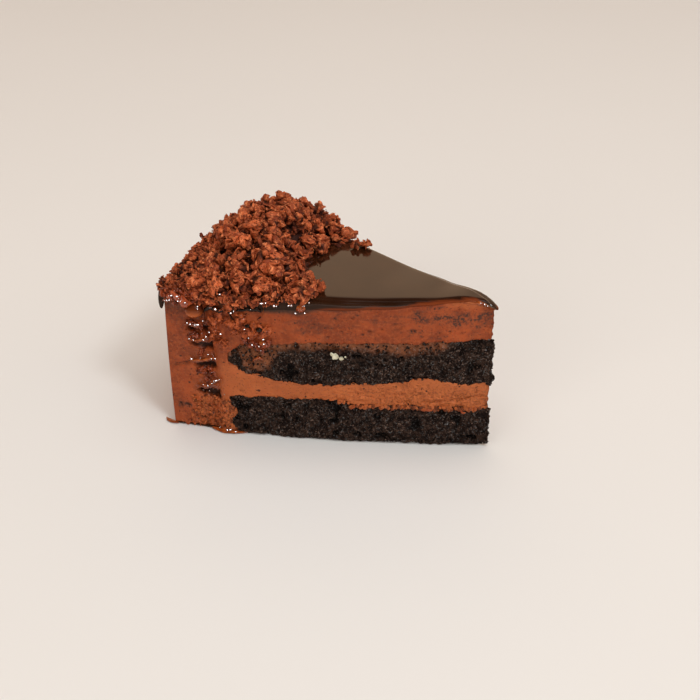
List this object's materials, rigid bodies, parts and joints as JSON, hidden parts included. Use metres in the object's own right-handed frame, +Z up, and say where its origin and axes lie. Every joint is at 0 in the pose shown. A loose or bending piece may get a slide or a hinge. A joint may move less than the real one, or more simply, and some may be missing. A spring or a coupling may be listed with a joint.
{
  "type": "slice of chocolate mousse cake",
  "caption": "Wedge of layered chocolate mousse cake with dark sponge, a mirror-glazed top and a heap of chocolate-coated wafer flakes along its outer edge.",
  "frame": {"origin": "on the underside, on the wedge's middle line, half a cake radius from the tip", "axes": "+X along the middle line towards the tip, +Z up, the pictured cut face on the -Y side"},
  "size_m": [0.1075, 0.0794, 0.0685],
  "materials": {
    "sponge_base": "near-black moist sponge crumb, matt",
    "sponge_top": "near-black moist sponge crumb, matt, smeared with mousse in places",
    "mousse": "milk-chocolate mousse, finely aerated, satin",
    "glaze": "dark chocolate mirror glaze, high gloss",
    "flakes": "wafer flakes coated in milk chocolate, matt with a few glossy spots"
  },
  "bodies": {
    "root": {"sponge_base": "sponge_base", "sponge_top": "sponge_top", "mousse": "mousse", "glaze": "glaze", "flake_heap": "flakes"}
  },
  "joints": []
}
